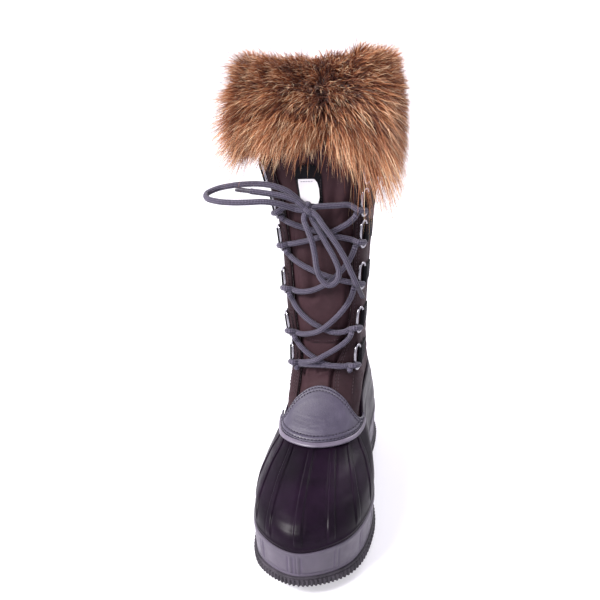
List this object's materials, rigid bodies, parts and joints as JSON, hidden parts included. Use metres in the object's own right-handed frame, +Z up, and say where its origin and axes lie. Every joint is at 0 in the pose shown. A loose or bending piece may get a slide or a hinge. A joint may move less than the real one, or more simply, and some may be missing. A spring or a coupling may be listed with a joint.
{
  "type": "snow boot",
  "caption": "Right snow boot with a rubber lower shell, laced textile shaft, leather vamp overlay and faux-fur cuff.",
  "frame": {"origin": "middle of the box at the ground, under the waist of the sole", "axes": "+Z up, toe towards -Y, heel towards +Y, medial side towards +X"},
  "size_m": [0.1621, 0.3031, 0.403],
  "materials": {
    "outsole_rubber": "moulded, dull black",
    "midsole_grey": "moulded, satin mauve grey",
    "insole_felt": "felt",
    "shell_rubber": "moulded, semi-gloss plum black",
    "vamp_leather": "smooth grey-violet leather with fine creases",
    "rim_rubber": "satin light grey",
    "shaft_fabric": "waterproof brown textile, fleece lined",
    "webbing_black": "woven webbing",
    "label_cloth": "plain white woven label",
    "faux_fur": "long-haired faux fur, auburn with fair tips",
    "ring_metal": "polished",
    "lace_cord": "round braided cord",
    "aglet_plastic": "dark tube"
  },
  "bodies": {
    "root": {"outsole": "outsole_rubber", "midsole": "midsole_grey", "insole": "insole_felt", "rubber_shell": "shell_rubber", "vamp_overlay": "vamp_leather", "vamp_rim": "rim_rubber", "shaft": "shaft_fabric", "tongue": "shaft_fabric", "tongue_keeper": "webbing_black", "tongue_label": "label_cloth", "fur_cuff": "faux_fur", "lace_ring_lateral_1": "ring_metal", "ring_tab_lateral_1": "webbing_black", "lace_ring_lateral_2": "ring_metal", "ring_tab_lateral_2": "webbing_black", "lace_ring_lateral_3": "ring_metal", "ring_tab_lateral_3": "webbing_black", "lace_ring_lateral_4": "ring_metal", "ring_tab_lateral_4": "webbing_black", "lace_ring_lateral_5": "ring_metal", "ring_tab_lateral_5": "webbing_black", "lace_ring_lateral_6": "ring_metal", "ring_tab_lateral_6": "webbing_black", "lace_ring_medial_1": "ring_metal", "ring_tab_medial_1": "webbing_black", "lace_ring_medial_2": "ring_metal", "ring_tab_medial_2": "webbing_black", "lace_ring_medial_3": "ring_metal", "ring_tab_medial_3": "webbing_black", "lace_ring_medial_4": "ring_metal", "ring_tab_medial_4": "webbing_black", "lace_ring_medial_5": "ring_metal", "ring_tab_medial_5": "webbing_black", "lace_ring_medial_6": "ring_metal", "ring_tab_medial_6": "webbing_black", "lace_crossing_1": "lace_cord", "lace_crossing_2": "lace_cord", "lace_crossing_3": "lace_cord", "lace_crossing_4": "lace_cord", "lace_top_lateral": "lace_cord", "lace_top_medial": "lace_cord", "lace_knot": "lace_cord", "lace_loop_left": "lace_cord", "lace_loop_down": "lace_cord", "lace_end_left": "lace_cord", "lace_end_right": "lace_cord", "aglet_left": "aglet_plastic", "aglet_right": "aglet_plastic"}
  },
  "joints": []
}
